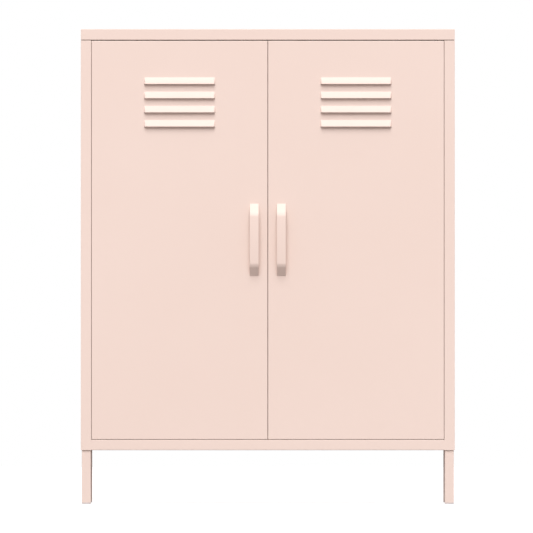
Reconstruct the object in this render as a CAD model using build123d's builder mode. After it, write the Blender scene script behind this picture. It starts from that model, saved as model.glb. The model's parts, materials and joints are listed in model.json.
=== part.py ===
"""Two-door steel locker cabinet on four straight legs.

The carcass is folded from thin sheet: two side panels whose front and rear edges fold
into hollow posts, a tray for the bottom, an inverted tray for the cap, and two back
panels bolted along a rib. Square tube legs stand up inside the posts. Each door is a
pan with four pressed louvres and a bow handle, and turns on pins in nylon bushes.

Frame: +Z up, the front faces -Y, the origin is on the floor at the middle of the
cabinet's whole outline, handles included. Millimetres.
"""
from build123d import *

import os
from math import hypot

os.makedirs("parts", exist_ok=True)

# ---- Outline ----
WIDTH = 800.0
DEPTH = 400.0
HEIGHT = 1016.0
HANDLE_REACH = 20.0
SIDE = WIDTH / 2
FRONT = (HANDLE_REACH - DEPTH) / 2
BACK = FRONT + DEPTH

# ---- Sheet metal ----
SHEET = 0.8
BEND = 1.5
LIP = 22.0

# ---- Carcass ----
BODY_BOTTOM = 115.2
DECK = 137.3
CAP_BOTTOM = HEIGHT - 23.4
FRONT_LIP = 32.0
PAN_LIP = 15.0
POST = 22.4
POST_RETURN = 40.0
POST_RELIEF = 1.0
JAMB = SIDE - POST
WEB = SIDE - SHEET
BACK_FLANGE = 20.0
MID_DEPTH = (FRONT + BACK) / 2

# ---- Legs ----
LEG = 19.5
LEG_WALL = 1.2
LEG_CORNER = 2.0
LEG_TOP = 190.0
LEG_SETBACK = 2.5
GLIDE = 3.0
GLIDE_PLUG = 15.0
LEG_X = JAMB + SHEET + LEG / 2
FRONT_LEG_Y = FRONT + LEG_SETBACK + LEG / 2
REAR_LEG_Y = BACK - LEG_SETBACK - LEG / 2
LEG_BOLT_HEIGHTS = (121.1, 131.3)

# ---- Doors ----
DOOR_DEPTH = 18.0
DOOR_RETURN = 14.0
SIDE_GAP = 0.9
CENTRE_GAP = 1.2
TOP_GAP = 1.8
BOTTOM_GAP = 1.0
DOOR_OUTER = JAMB - SIDE_GAP
DOOR_INNER = CENTRE_GAP / 2
DOOR_X = (DOOR_OUTER + DOOR_INNER) / 2
DOOR_WIDTH = DOOR_OUTER - DOOR_INNER
DOOR_TOP = CAP_BOTTOM - TOP_GAP
DOOR_BOTTOM = DECK + BOTTOM_GAP
DOOR_Z = (DOOR_TOP + DOOR_BOTTOM) / 2
DOOR_HEIGHT = DOOR_TOP - DOOR_BOTTOM
DOOR_BACK = FRONT + DOOR_DEPTH

# ---- Louvres ----
LOUVRES = 4
LOUVRE_WIDTH = 152.0
LOUVRE_PITCH = 30.4
LOUVRE_REACH = 7.0
LOUVRE_HEIGHT = 14.2
LOUVRE_NOSE = 0.8
LOUVRE_CORNER = 2.5
TOP_LOUVRE_LIP = 898.3

# ---- Handles ----
HANDLE_X = 29.0
HANDLE_Z = 565.0
HANDLE_LENGTH = 155.0
HANDLE_WIDTH = 19.5
HANDLE_SLOPE = 22.0
HANDLE_ARCH = 1.5
HANDLE_BAR = 5.0
HANDLE_STEP = 4.0
HANDLE_FOOT = 16.0
HANDLE_SCREW_INSET = 11.0
HANDLE_CORNER = 17.0
HANDLE_EDGE = 1.2

# ---- Hinges ----
PIVOT_X = DOOR_OUTER - 16.0
PIVOT_Y = FRONT + 5.5
PIN_R = 2.5
PIN_RUN = 0.05
BUSH_R = 3.4
BUSH_BODY = 1.8
BUSH_FLANGE = 0.8
BUSH_FLANGE_R = 4.2
THRUST_FLANGE = 0.7
BRACKET = 3.0
BRACKET_LEG = 40.0

# ---- Shelves ----
SHELF_WIDTH = 750.0
SHELF_FRONT = FRONT + 35.0
SHELF_BACK = BACK - 25.0
SHELF_DEPTH = 20.0
SHELF_LIP = 12.0
SHELF_LIFT = 0.3
SLOT_PITCH = 50.0
SLOTS = 16
SLOT_WIDTH = 12.0
SLOT_HEIGHT = 3.6
FIRST_SLOT = 186.0
LOWER_LEDGE = FIRST_SLOT + 4 * SLOT_PITCH
UPPER_LEDGE = FIRST_SLOT + 10 * SLOT_PITCH
UPRIGHT = 24.0
UPRIGHT_TOP = 985.0
FRONT_UPRIGHT_Y = FRONT + 59.0
REAR_UPRIGHT_Y = BACK - 58.0
CLIP = 1.6
CLIP_WIDTH = 10.0
CLIP_LEDGE = 14.0
CLIP_PLATE = 13.0
CLIP_HOOK = 7.0

# ---- Fasteners: M4 and M5 shank, clearance hole, head and nut ----
M4 = 2.0
M4_HOLE = 2.25
M4_HEAD = 4.0
M4_HEAD_HEIGHT = 2.6
M4_NUT = 4.0
BOLT_LENGTH = 7.0
M5 = 2.5
M5_HOLE = 2.75
M5_HEAD = 4.7
M5_HEAD_HEIGHT = 2.8
M5_LENGTH = 9.0
M5_NUT = 4.9
M5_NUT_HEIGHT = 4.0
THREAD_RUN = 0.05
NUT_HEIGHT = 3.2
RIB_BOLT_HEIGHTS = (250.0, 565.0, 880.0)
BACK_BOLT_Y = BACK - BACK_FLANGE / 2
ANCHOR_X = 280.0
ANCHOR_Z = 940.0
CAP_BOLT_X = (JAMB + SIDE) / 2
CAP_SIDE_BOLT_YS = (FRONT + 75.0, MID_DEPTH, BACK - 75.0)
CAP_BACK_BOLT_XS = (100.0, 280.0)
CAP_BACK_BOLT_Y = BACK - 11.0

# ---- Stiffening channels ----
HAT_CROWN = 40.0
HAT_FLANGE = 12.0
CARCASS_HAT_HALF = 370.0
SHELF_HAT_HALF = 355.0
DOOR_HAT_CROWN = 36.0
DOOR_HAT_END = 25.0

# ---- Catches and door stop ----
CATCH_X = 34.0
CATCH_LENGTH = 46.0
CATCH_HEIGHT = 14.5
CATCH_FRONT = DOOR_BACK + 0.7
CATCH_REAR = FRONT + FRONT_LIP
CATCH_Y = (CATCH_FRONT + CATCH_REAR) / 2
CATCH_LOW = CAP_BOTTOM - CATCH_HEIGHT
MAGNET_LENGTH = 20.0
MAGNET_HEIGHT = 8.0
MAGNET_LOW = CATCH_LOW + 3.0
MAGNET_FRONT = DOOR_BACK + 0.4
MAGNET_REAR = CATCH_REAR - 2.0
CATCH_SCREW = 1.6
CATCH_SCREW_XS = (CATCH_X - 17.0, CATCH_X + 17.0)
STOP_HALF = 45.0
STOP_PLATE = 1.2
STOP_HEIGHT = 20.0
STOP_FOOT = 22.0
STOP_Y = DOOR_BACK + 1.8
BUFFER_X = 25.0
BUFFER_R = 4.0
STOP_SCREW_X = 32.0
STOP_SCREW_Y = STOP_Y + 12.0

LEFT, RIGHT = -1, 1
SIDES = {"left": LEFT, "right": RIGHT}


# ---- Small helpers, used inside a sub-part's own block ----
def block(low, high, mode=Mode.ADD):
    """Box between two opposite corners."""
    with Locations(tuple((a + b) / 2 for a, b in zip(low, high))):
        Box(*[abs(b - a) for a, b in zip(low, high)], mode=mode)


def drill(points, axis, radius, reach=6.0):
    """Round holes of one radius, centred on the points, along X, Y or Z."""
    turn = {"X": (0, 90, 0), "Y": (90, 0, 0), "Z": (0, 0, 0)}[axis]
    with Locations(*[Location(point, turn) for point in points]):
        Cylinder(radius, 2 * reach, mode=Mode.SUBTRACT)


def bolts(places, shank_r, length, head_r, head_height):
    """Headed screws: each place is under the head, with its +Z along the shank."""
    with Locations(*places):
        Cylinder(shank_r, length, align=(Align.CENTER, Align.CENTER, Align.MIN))
        Cylinder(head_r, head_height, align=(Align.CENTER, Align.CENTER, Align.MAX))


def nuts(places, across_r, height, bore_r):
    """Hexagon nuts: each place is on the nut's seat, with its +Z through the nut."""
    with BuildSketch(*[Plane(place) for place in places]) as hexagons:
        RegularPolygon(across_r, 6)
        Circle(bore_r, mode=Mode.SUBTRACT)
    extrude(hexagons.sketch, amount=height)


def along(point, direction):
    """A place at a point whose +Z runs along +X, -X, +Y, -Y, +Z or -Z."""
    axes = {"+X": (1, 0, 0), "-X": (-1, 0, 0), "+Y": (0, 1, 0), "-Y": (0, -1, 0)}
    axes.update({"+Z": (0, 0, 1), "-Z": (0, 0, -1)})
    return Plane(origin=point, z_dir=axes[direction]).location


def folded_section(points, plane, radius=BEND):
    """Section of sheet folded along a line of points, its thickness left of the line."""
    with BuildSketch(plane) as section:
        with BuildLine():
            FilletPolyline(*points, radius=radius)
            offset(amount=SHEET, side=Side.LEFT)
        make_face()
    return section.sketch


def hat_section(plane, crown, depth, flange):
    """Section of a hat channel: its flanges lie on the plane's X axis, its crown above."""
    half = crown / 2
    points = [(-half - flange, 0), (-half, 0), (-half, depth), (half, depth), (half, 0), (half + flange, 0)]
    return folded_section(points, plane)


def save(part, name):
    """Label a finished piece and write it under its own name."""
    part.label = name
    export_step(part, f"parts/{name}.step")


# ---- Side panels ----
def side_panel(side):
    """Web, front post and rear post folded from one sheet, with a flange along the top.

    The posts stop just short of the cap, which rests on the flange between them.
    """
    corners = [
        (JAMB, FRONT + POST_RETURN),
        (JAMB, FRONT),
        (SIDE, FRONT),
        (SIDE, BACK),
        (JAMB, BACK),
        (JAMB, BACK - POST_RETURN),
    ]
    path = [(side * x, y) for x, y in corners][::side]
    leg_bolt_points = [
        (side * JAMB, y, z) for y in (FRONT_LEG_Y, REAR_LEG_Y) for z in LEG_BOLT_HEIGHTS
    ]
    with BuildPart() as panel:
        extrude(folded_section(path, Plane.XY.offset(BODY_BOTTOM)), amount=CAP_BOTTOM - BODY_BOTTOM)
        block(
            (side * (JAMB + 2), FRONT + POST_RETURN + 2, CAP_BOTTOM - SHEET),
            (side * (SIDE - SHEET / 2), BACK - POST_RETURN - 2, CAP_BOTTOM),
        )
        for low_y, high_y in ((FRONT, FRONT + POST_RETURN), (BACK - POST_RETURN, BACK)):
            block(
                (side * (JAMB - 1), low_y - 1, CAP_BOTTOM - POST_RELIEF),
                (side * (SIDE + 1), high_y + 1, CAP_BOTTOM + 1),
                mode=Mode.SUBTRACT,
            )
        drill([(side * CAP_BOLT_X, y, CAP_BOTTOM) for y in CAP_SIDE_BOLT_YS], "Z", M4_HOLE)
        drill([(side * JAMB, BACK_BOLT_Y, z) for z in RIB_BOLT_HEIGHTS], "X", M4_HOLE)
        drill(leg_bolt_points, "X", M5_HOLE)
    return panel.part


for name, side in SIDES.items():
    save(side_panel(side), f"{name}_side_panel")


# ---- Bottom panel: a tray turned over, its skirts following the posts ----
def deck_outline(inset=0.0):
    """Corners of the deck, notched round the four posts, drawn in from the skirts."""
    narrow = JAMB - inset
    wide = WEB - inset
    front = FRONT + inset
    front_notch = FRONT + POST_RETURN + inset
    rear_notch = BACK - POST_RETURN - inset
    rear = BACK - SHEET - inset
    half = [
        (narrow, front),
        (narrow, front_notch),
        (wide, front_notch),
        (wide, rear_notch),
        (narrow, rear_notch),
        (narrow, rear),
    ]
    return half + [(-x, y) for x, y in reversed(half)]


with BuildPart() as bottom_panel:
    with BuildSketch(Plane.XY.offset(BODY_BOTTOM)):
        with BuildLine():
            Polyline(*deck_outline(), close=True)
        make_face()
    extrude(amount=DECK - BODY_BOTTOM)
    fillet(bottom_panel.edges().filter_by(Axis.X).group_by(Axis.Z)[-1].sort_by(Axis.Y)[0], BEND)
    offset(amount=-SHEET, openings=bottom_panel.faces().sort_by(Axis.Z)[0])
    with BuildSketch(Plane.XY.offset(BODY_BOTTOM)):
        with BuildLine():
            Polyline(*deck_outline(), close=True)
        make_face()
        with BuildLine():
            Polyline(*deck_outline(PAN_LIP), close=True)
        make_face(mode=Mode.SUBTRACT)
    extrude(amount=SHEET)
    fillet(bottom_panel.edges().filter_by(Axis.X).group_by(Axis.Z)[0].sort_by(Axis.Y)[0], BEND)
    drill([(side * PIVOT_X, PIVOT_Y, DECK) for side in (LEFT, RIGHT)], "Z", BUSH_R + PIN_RUN)
    drill([(side * STOP_SCREW_X, STOP_SCREW_Y, DECK) for side in (LEFT, RIGHT)], "Z", M4_HOLE)
    for leg_y in (FRONT_LEG_Y, REAR_LEG_Y):
        drill([(side * JAMB, leg_y, z) for side in (LEFT, RIGHT) for z in LEG_BOLT_HEIGHTS], "X", M5_HOLE)
save(bottom_panel.part, "bottom_panel")

with BuildPart() as bottom_stiffener:
    deck_underside = Plane((0, MID_DEPTH, DECK - SHEET), x_dir=(0, 1, 0), z_dir=(-1, 0, 0))
    extrude(hat_section(deck_underside, HAT_CROWN, 16, HAT_FLANGE), amount=CARCASS_HAT_HALF, both=True)
save(bottom_stiffener.part, "bottom_stiffener")


# ---- Cap ----
with BuildPart() as top_panel:
    block((-SIDE, FRONT, CAP_BOTTOM), (SIDE, BACK, HEIGHT))
    fillet(top_panel.faces().sort_by(Axis.Z)[-1].edges(), BEND)
    offset(amount=-SHEET, openings=top_panel.faces().sort_by(Axis.Z)[0])
    with BuildSketch(Plane.XY.offset(CAP_BOTTOM)):
        with Locations((0, MID_DEPTH)):
            Rectangle(WIDTH, DEPTH)
        with Locations((0, MID_DEPTH + (FRONT_LIP - LIP) / 2)):
            Rectangle(WIDTH - 2 * LIP, DEPTH - FRONT_LIP - LIP, mode=Mode.SUBTRACT)
    extrude(amount=SHEET)
    fillet(top_panel.edges().filter_by(Axis.X).group_by(Axis.Z)[0].sort_by(Axis.Y)[0], BEND)
    drill([(side * PIVOT_X, PIVOT_Y, CAP_BOTTOM) for side in (LEFT, RIGHT)], "Z", BUSH_R + PIN_RUN)
    for cap_side in (LEFT, RIGHT):
        drill([(cap_side * CAP_BOLT_X, y, CAP_BOTTOM) for y in CAP_SIDE_BOLT_YS], "Z", M4_HOLE)
        drill([(cap_side * x, CAP_BACK_BOLT_Y, CAP_BOTTOM) for x in CAP_BACK_BOLT_XS], "Z", M4_HOLE)
        drill([(cap_side * x, CATCH_Y, CAP_BOTTOM) for x in CATCH_SCREW_XS], "Z", CATCH_SCREW + THREAD_RUN)
save(top_panel.part, "top_panel")

with BuildPart() as top_stiffener:
    cap_underside = Plane((0, MID_DEPTH, HEIGHT - SHEET), x_dir=(0, 1, 0), z_dir=(-1, 0, 0))
    extrude(hat_section(cap_underside, HAT_CROWN, 15, HAT_FLANGE), amount=CARCASS_HAT_HALF, both=True)
save(top_stiffener.part, "top_stiffener")


# ---- Back panels ----
def back_panel(side):
    """Flat sheet with forward flanges at the central rib, at the post and along the top."""
    flange_front = BACK - BACK_FLANGE
    corners = [(0, flange_front), (0, BACK), (JAMB, BACK), (JAMB, flange_front)]
    path = [(side * x, y) for x, y in corners][::-side]
    with BuildPart() as panel:
        extrude(folded_section(path, Plane.XY.offset(DECK)), amount=CAP_BOTTOM - DECK)
        block((side * BEND, BACK - SHEET, BODY_BOTTOM), (side * (JAMB - BEND), BACK, DECK + BEND))
        block(
            (side * SHEET, flange_front, CAP_BOTTOM - SHEET),
            (side * (JAMB - SHEET), BACK - SHEET / 2, CAP_BOTTOM),
        )
        drill([(0, BACK_BOLT_Y, z) for z in RIB_BOLT_HEIGHTS], "X", M4_HOLE)
        drill([(side * JAMB, BACK_BOLT_Y, z) for z in RIB_BOLT_HEIGHTS], "X", M4_HOLE)
        drill([(side * x, CAP_BACK_BOLT_Y, CAP_BOTTOM) for x in CAP_BACK_BOLT_XS], "Z", M4_HOLE)
        drill([(side * ANCHOR_X, BACK, ANCHOR_Z)], "Y", M5_HOLE)
    return panel.part


for name, side in SIDES.items():
    save(back_panel(side), f"{name}_back_panel")


# ---- Legs and glides ----
def leg(side, y):
    """Square tube standing up inside a post, with two bolt holes through its inner wall."""
    bore = LEG - 2 * LEG_WALL
    with BuildPart() as tube:
        with BuildSketch(Plane.XY.offset(GLIDE)):
            with Locations((side * LEG_X, y)):
                RectangleRounded(LEG, LEG, LEG_CORNER)
                RectangleRounded(bore, bore, LEG_CORNER - LEG_WALL, mode=Mode.SUBTRACT)
        extrude(amount=LEG_TOP - GLIDE)
        drill([(side * (LEG_X - LEG / 2), y, z) for z in LEG_BOLT_HEIGHTS], "X", M5_HOLE)
    return tube.part


def glide(side, y):
    """Moulded foot: a flat base under the tube and a square plug up inside it."""
    plug = LEG - 2 * LEG_WALL - 0.2
    with BuildPart() as foot:
        with BuildSketch(Plane.XY):
            with Locations((side * LEG_X, y)):
                RectangleRounded(LEG, LEG, LEG_CORNER)
        extrude(amount=GLIDE)
        with BuildSketch(Plane.XY.offset(GLIDE)):
            with Locations((side * LEG_X, y)):
                RectangleRounded(plug, plug, 1.5)
        extrude(amount=GLIDE_PLUG)
    return foot.part


for name, side in SIDES.items():
    save(leg(side, FRONT_LEG_Y), f"front_{name}_leg")
    save(leg(side, REAR_LEG_Y), f"rear_{name}_leg")
    save(glide(side, FRONT_LEG_Y), f"front_{name}_glide")
    save(glide(side, REAR_LEG_Y), f"rear_{name}_glide")

leg_bolt_places = []
leg_nut_places = []
for side in (LEFT, RIGHT):
    outward = "+X" if side > 0 else "-X"
    for leg_y in (FRONT_LEG_Y, REAR_LEG_Y):
        for z in LEG_BOLT_HEIGHTS:
            leg_bolt_places.append(along((side * (JAMB - SHEET), leg_y, z), outward))
            leg_nut_places.append(along((side * (JAMB + SHEET + LEG_WALL), leg_y, z), outward))

with BuildPart() as leg_bolts:
    bolts(leg_bolt_places, M5, M5_LENGTH, M5_HEAD, M5_HEAD_HEIGHT)
save(leg_bolts.part, "leg_bolts")

with BuildPart() as leg_weld_nuts:
    nuts(leg_nut_places, M5_NUT, M5_NUT_HEIGHT, M5 + THREAD_RUN)
save(leg_weld_nuts.part, "leg_weld_nuts")


# ---- Cap and back bolts ----
cap_bolt_points = [(side * CAP_BOLT_X, y) for side in (LEFT, RIGHT) for y in CAP_SIDE_BOLT_YS]
cap_bolt_points += [(side * x, CAP_BACK_BOLT_Y) for side in (LEFT, RIGHT) for x in CAP_BACK_BOLT_XS]

with BuildPart() as cap_bolts:
    cap_bolt_places = [along((x, y, CAP_BOTTOM - SHEET), "+Z") for x, y in cap_bolt_points]
    bolts(cap_bolt_places, M4, BOLT_LENGTH, M4_HEAD, M4_HEAD_HEIGHT)
save(cap_bolts.part, "cap_bolts")

with BuildPart() as cap_nuts:
    cap_nut_places = [along((x, y, CAP_BOTTOM + SHEET), "+Z") for x, y in cap_bolt_points]
    nuts(cap_nut_places, M4_NUT, NUT_HEIGHT, M4 + THREAD_RUN)
save(cap_nuts.part, "cap_nuts")

back_bolt_places = []
back_nut_places = []
for z in RIB_BOLT_HEIGHTS:
    back_bolt_places.append(along((-SHEET, BACK_BOLT_Y, z), "+X"))
    back_nut_places.append(along((SHEET, BACK_BOLT_Y, z), "+X"))
    for side, outward in ((LEFT, "-X"), (RIGHT, "+X")):
        back_bolt_places.append(along((side * (JAMB - SHEET), BACK_BOLT_Y, z), outward))
        back_nut_places.append(along((side * (JAMB + SHEET), BACK_BOLT_Y, z), outward))

with BuildPart() as back_bolts:
    bolts(back_bolt_places, M4, BOLT_LENGTH, M4_HEAD, M4_HEAD_HEIGHT)
save(back_bolts.part, "back_bolts")

with BuildPart() as back_nuts:
    nuts(back_nut_places, M4_NUT, NUT_HEIGHT, M4 + THREAD_RUN)
save(back_nuts.part, "back_nuts")


# ---- Shelf uprights, shelves and clips ----
def upright(side, y):
    """Slotted channel on the side panel's web, with its face in line with the jambs."""
    low, high = y - UPRIGHT / 2, y + UPRIGHT / 2
    channel = [(WEB, low), (JAMB, low), (JAMB, high), (WEB, high)]
    path = [(side * x, yy) for x, yy in channel][::-side]
    slot_bottom = FIRST_SLOT - 2.4
    with BuildPart() as strip:
        extrude(folded_section(path, Plane.XY.offset(DECK)), amount=UPRIGHT_TOP - DECK)
        for step in range(SLOTS):
            slot_low = slot_bottom + step * SLOT_PITCH
            block(
                (side * (JAMB - 1), y - SLOT_WIDTH / 2, slot_low),
                (side * (JAMB + 2), y + SLOT_WIDTH / 2, slot_low + SLOT_HEIGHT),
                mode=Mode.SUBTRACT,
            )
    return strip.part


for name, side in SIDES.items():
    save(upright(side, FRONT_UPRIGHT_Y), f"front_{name}_upright")
    save(upright(side, REAR_UPRIGHT_Y), f"rear_{name}_upright")


def clip(side, y, ledge):
    """Bent clip: a ledge under the shelf, a back plate, and a tongue hooked in a slot."""
    low, high = y - CLIP_WIDTH / 2, y + CLIP_WIDTH / 2
    hook_front = JAMB + SHEET + 1
    hook_back = hook_front + CLIP
    block((side * (JAMB - CLIP_LEDGE), low, ledge - CLIP), (side * hook_back, high, ledge))
    block((side * (JAMB - CLIP), low, ledge - CLIP_PLATE), (side * JAMB, high, ledge))
    block((side * hook_front, low, ledge - CLIP_HOOK), (side * hook_back, high, ledge))


def shelf_clips(ledge):
    """The four clips that carry one shelf."""
    with BuildPart() as clips:
        for side in (LEFT, RIGHT):
            clip(side, FRONT_UPRIGHT_Y, ledge)
            clip(side, REAR_UPRIGHT_Y, ledge)
    return clips.part


def shelf(ledge):
    """Tray turned over, with lips along the bottom of its four skirts."""
    low = ledge + SHELF_LIFT
    high = low + SHELF_DEPTH
    half = SHELF_WIDTH / 2
    span = SHELF_BACK - SHELF_FRONT
    with BuildPart() as tray:
        block((-half, SHELF_FRONT, low), (half, SHELF_BACK, high))
        fillet(tray.faces().sort_by(Axis.Z)[-1].edges(), BEND)
        offset(amount=-SHEET, openings=tray.faces().sort_by(Axis.Z)[0])
        with BuildSketch(Plane.XY.offset(low)):
            with Locations((0, (SHELF_FRONT + SHELF_BACK) / 2)):
                Rectangle(SHELF_WIDTH, span)
                Rectangle(SHELF_WIDTH - 2 * SHELF_LIP, span - 2 * SHELF_LIP, mode=Mode.SUBTRACT)
        extrude(amount=SHEET)
    return tray.part


def shelf_stiffener(ledge):
    """Hat channel welded along the middle of a shelf's underside."""
    skin = ledge + SHELF_LIFT + SHELF_DEPTH - SHEET
    middle = (SHELF_FRONT + SHELF_BACK) / 2
    with BuildPart() as hat:
        underside = Plane((0, middle, skin), x_dir=(0, 1, 0), z_dir=(-1, 0, 0))
        extrude(hat_section(underside, HAT_CROWN, 13, HAT_FLANGE), amount=SHELF_HAT_HALF, both=True)
    return hat.part


for name, ledge in (("lower", LOWER_LEDGE), ("upper", UPPER_LEDGE)):
    save(shelf(ledge), f"{name}_shelf")
    save(shelf_stiffener(ledge), f"{name}_shelf_stiffener")
    save(shelf_clips(ledge), f"{name}_shelf_clips")


# ---- Door pans ----
def slopes(edge):
    """Whether an edge runs down and forward at once."""
    run = edge.tangent_at(0.5)
    return run.Y * run.Z > 0.1


def louvre_hood(side, lip, half_width, set_back, corner):
    """Wedge that stands out of the door: one hood's outside, or its hollow when set back."""
    face = FRONT + set_back
    with BuildPart() as hood:
        with BuildSketch(Plane.YZ.offset(side * DOOR_X)):
            with BuildLine():
                Polyline(
                    (face, lip),
                    (face, lip + LOUVRE_HEIGHT),
                    (face - LOUVRE_REACH, lip + LOUVRE_NOSE),
                    (face - LOUVRE_REACH, lip),
                    close=True,
                )
            make_face()
        extrude(amount=half_width, both=True)
        nose = hood.faces().sort_by(Axis.Y)[0]
        sloping_ends = hood.edges().filter_by(slopes)
        fillet(sloping_ends + nose.edges().filter_by(Axis.Z), corner)
    return hood.part


def door_panel(side):
    """Pan folded from one sheet: front skin, four edges and a return behind each edge."""
    middle = (side * DOOR_X, DOOR_Z)
    slope_run = LOUVRE_HEIGHT - LOUVRE_NOSE
    wall = SHEET * hypot(LOUVRE_REACH, slope_run) / slope_run
    lips = [TOP_LOUVRE_LIP - step * LOUVRE_PITCH for step in range(LOUVRES)]
    half = LOUVRE_WIDTH / 2
    hoods = [louvre_hood(side, lip, half, 0, LOUVRE_CORNER) for lip in lips]
    hollows = [louvre_hood(side, lip, half - SHEET, wall, LOUVRE_CORNER - SHEET) for lip in lips]
    with BuildPart() as pan:
        with BuildSketch(Plane.XZ.offset(-DOOR_BACK)) as outline:
            with Locations(middle):
                Rectangle(DOOR_WIDTH, DOOR_HEIGHT)
        extrude(outline.sketch, amount=DOOR_DEPTH)
        fillet(pan.faces().sort_by(Axis.Y)[0].edges(), BEND)
        offset(amount=-SHEET, openings=pan.faces().sort_by(Axis.Y)[-1])
        with BuildSketch(Plane.XZ.offset(-DOOR_BACK)) as returns:
            with Locations(middle):
                Rectangle(DOOR_WIDTH, DOOR_HEIGHT)
                Rectangle(DOOR_WIDTH - 2 * DOOR_RETURN, DOOR_HEIGHT - 2 * DOOR_RETURN, mode=Mode.SUBTRACT)
        extrude(returns.sketch, amount=SHEET)
        add(hoods)
        add(hollows, mode=Mode.SUBTRACT)
        drill([(side * HANDLE_X, FRONT, z) for z in handle_screw_heights()], "Y", M4_HOLE)
        drill([(side * PIVOT_X, PIVOT_Y, z) for z in (DOOR_TOP, DOOR_BOTTOM)], "Z", PIN_R + 0.1, reach=2.0)
    return pan.part


def door_stiffener(side):
    """Upright hat channel behind the door's skin, below the louvres."""
    low = DOOR_BOTTOM + DOOR_HAT_END
    high = TOP_LOUVRE_LIP - (LOUVRES - 1) * LOUVRE_PITCH - 45
    with BuildPart() as hat:
        skin = Plane((side * DOOR_X, FRONT + SHEET, low))
        extrude(hat_section(skin, DOOR_HAT_CROWN, 14, HAT_FLANGE), amount=high - low)
    return hat.part


# ---- Handles ----
def handle_screw_heights():
    """Heights of the two screws in a handle's feet."""
    reach = HANDLE_LENGTH / 2 - HANDLE_SCREW_INSET
    return (HANDLE_Z - reach, HANDLE_Z + reach)


def handle(side):
    """Gently arched bow of flat bar whose sloping legs thicken to a foot at each end."""
    half = HANDLE_LENGTH / 2
    crown = FRONT - HANDLE_REACH
    shoulder = crown + HANDLE_ARCH
    rise = half - HANDLE_SLOPE
    under = shoulder + HANDLE_BAR
    under_rise = rise - HANDLE_STEP
    profile = Plane(origin=(side * HANDLE_X, 0, HANDLE_Z), x_dir=(0, 1, 0), z_dir=(1, 0, 0))
    with BuildPart() as bow:
        with BuildSketch(profile) as section:
            with BuildLine():
                ThreePointArc((shoulder, -rise), (crown, 0), (shoulder, rise))
                Polyline((shoulder, rise), (FRONT, half), (FRONT, half - HANDLE_FOOT), (under, under_rise))
                ThreePointArc((under, under_rise), (crown + HANDLE_BAR, 0), (under, -under_rise))
                Polyline((under, -under_rise), (FRONT, HANDLE_FOOT - half), (FRONT, -half), (shoulder, -rise))
            make_face()
        extrude(section.sketch, amount=HANDLE_WIDTH / 2, both=True)
        for depth, radius in ((under, HANDLE_CORNER - HANDLE_BAR), (shoulder, HANDLE_CORNER)):
            bends = bow.edges().filter_by(Axis.X).filter_by_position(Axis.Y, depth - 0.01, depth + 0.01)
            fillet(bends, radius)
        side_edges = bow.faces().filter_by(Axis.X).edges()
        fillet(side_edges.filter_by(lambda edge: edge.center().Y < FRONT - 0.1), HANDLE_EDGE)
        drill([(side * HANDLE_X, FRONT, z) for z in handle_screw_heights()], "Y", M4 + THREAD_RUN, reach=5.5)
    return bow.part


def handle_screws(side):
    """Two pan-head screws from inside the door into the handle's feet."""
    with BuildPart() as screws:
        places = [along((side * HANDLE_X, FRONT + SHEET, z), "-Y") for z in handle_screw_heights()]
        bolts(places, M4, 6.0, M4_HEAD, M4_HEAD_HEIGHT)
    return screws.part


# ---- Hinges ----
def hinge_bracket(side, top):
    """Angle inside the pan's outer corner: a thick plate for the pin and a leg."""
    edge = DOOR_TOP - SHEET if top else DOOR_BOTTOM + SHEET
    inward = -1 if top else 1
    front, rear = FRONT + BEND, DOOR_BACK - SHEET
    outer = DOOR_OUTER - SHEET
    with BuildPart() as bracket:
        block((side * (PIVOT_X - 26), front, edge), (side * outer, rear, edge + inward * BRACKET))
        block((side * (outer - BRACKET), front, edge), (side * outer, rear, edge + inward * BRACKET_LEG))
        drill([(side * PIVOT_X, PIVOT_Y, edge)], "Z", PIN_R + THREAD_RUN)
    return bracket.part


def upper_hinge_pin(side):
    """Shoulder screw from the cap's hollow down into the upper bracket."""
    seat = CAP_BOTTOM + SHEET + BUSH_FLANGE + 0.5
    with BuildPart() as pin:
        length = seat - (DOOR_TOP - SHEET - BRACKET - 3)
        bolts([along((side * PIVOT_X, PIVOT_Y, seat), "-Z")], PIN_R, length, 4.5, 3.0)
    return pin.part


def lower_hinge_pin(side):
    """Riveted pin from the lower bracket down through the bush in the deck."""
    seat = DOOR_BOTTOM + SHEET + BRACKET
    with BuildPart() as pin:
        bolts([along((side * PIVOT_X, PIVOT_Y, seat), "-Z")], PIN_R, seat - DECK + 5, 4.0, 2.0)
    return pin.part


def hinge_bushes(seat, flange):
    """Two flanged bushes, each standing in a hole with its flange on the seat."""
    with BuildPart() as bushes:
        for side in (LEFT, RIGHT):
            with Locations((side * PIVOT_X, PIVOT_Y, seat)):
                Cylinder(BUSH_R, BUSH_BODY, align=(Align.CENTER, Align.CENTER, Align.MAX))
                Cylinder(BUSH_FLANGE_R, flange, align=(Align.CENTER, Align.CENTER, Align.MIN))
                Cylinder(PIN_R + PIN_RUN, 12, mode=Mode.SUBTRACT)
    return bushes.part


save(hinge_bushes(CAP_BOTTOM + SHEET, BUSH_FLANGE), "upper_hinge_bushes")
save(hinge_bushes(DECK, THRUST_FLANGE), "lower_hinge_bushes")

for name, side in SIDES.items():
    save(door_panel(side), f"{name}_door_panel")
    save(door_stiffener(side), f"{name}_door_stiffener")
    save(handle(side), f"{name}_handle")
    save(handle_screws(side), f"{name}_handle_screws")
    save(hinge_bracket(side, top=True), f"{name}_upper_hinge_bracket")
    save(hinge_bracket(side, top=False), f"{name}_lower_hinge_bracket")
    save(upper_hinge_pin(side), f"{name}_upper_hinge_pin")
    save(lower_hinge_pin(side), f"{name}_lower_hinge_pin")


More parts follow.
